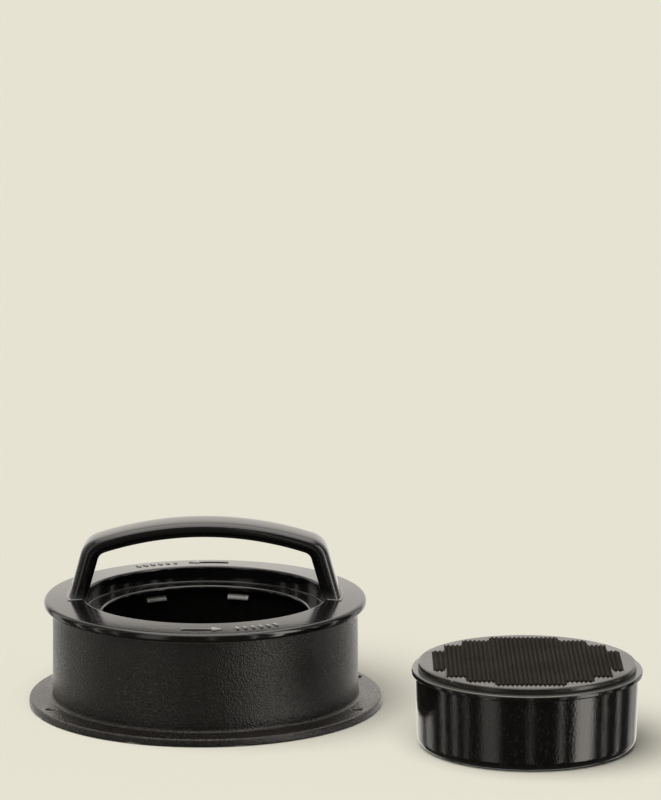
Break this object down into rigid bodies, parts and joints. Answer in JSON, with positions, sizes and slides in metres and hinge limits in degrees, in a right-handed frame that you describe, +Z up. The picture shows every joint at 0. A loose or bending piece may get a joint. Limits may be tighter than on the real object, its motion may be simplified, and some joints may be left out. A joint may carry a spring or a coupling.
{
  "type": "patty press",
  "caption": "Round press for meat patties: ring mould on a flanged foot, loose ridged floor, press cup, handled head with a stuffing cup, and a small slider cup and plate.",
  "frame": {"origin": "on the press's axis, on the surface that the base stands on", "axes": "+Z up along the press's axis; X along the handle; the ribs of the ridged plate run along Y; the slider set stands at +X, -Y"},
  "size_m": [0.234, 0.1741, 0.0724],
  "materials": {
    "satin_black": "satin, very fine moulded grain",
    "fine_grain_black": "satin, very fine moulded grain",
    "grey_brown_plate": "matte, fine texture",
    "gloss_black": "glossy",
    "polished_black": "high gloss",
    "dark_grey_plate": "semi-gloss, ridged"
  },
  "bodies": {
    "base": {"mould_base": "satin_black"},
    "floor_plate": {"ridged_plate": "grey_brown_plate"},
    "cup": {"press_cup": "fine_grain_black"},
    "head": {"head_cap": "gloss_black", "stuffing_cup": "gloss_black", "handle": "gloss_black"},
    "slider": {"slider_cup": "polished_black"},
    "slider_lid": {"slider_plate": "dark_grey_plate"}
  },
  "joints": [
    {"name": "plate_eject", "type": "slide", "parent": "base", "child": "floor_plate", "axis": [0, 0, 1], "range_m": [0, 0.062]},
    {"name": "cup_stroke", "type": "slide", "parent": "floor_plate", "child": "cup", "axis": [0, 0, 1], "range_m": [0, 0.026]},
    {"name": "head_lift", "type": "slide", "parent": "cup", "child": "head", "axis": [0, 0, 1], "range_m": [0, 0.0473]},
    {"name": "slider_carry", "type": "slide", "parent": "base", "child": "slider", "axis": [-0.4794, 0.2443, 0.8429], "range_m": [0, 0.2546]},
    {"name": "slider_plate_lift", "type": "slide", "parent": "slider", "child": "slider_lid", "axis": [0, 0, 1], "range_m": [0, 0.0101]}
  ]
}
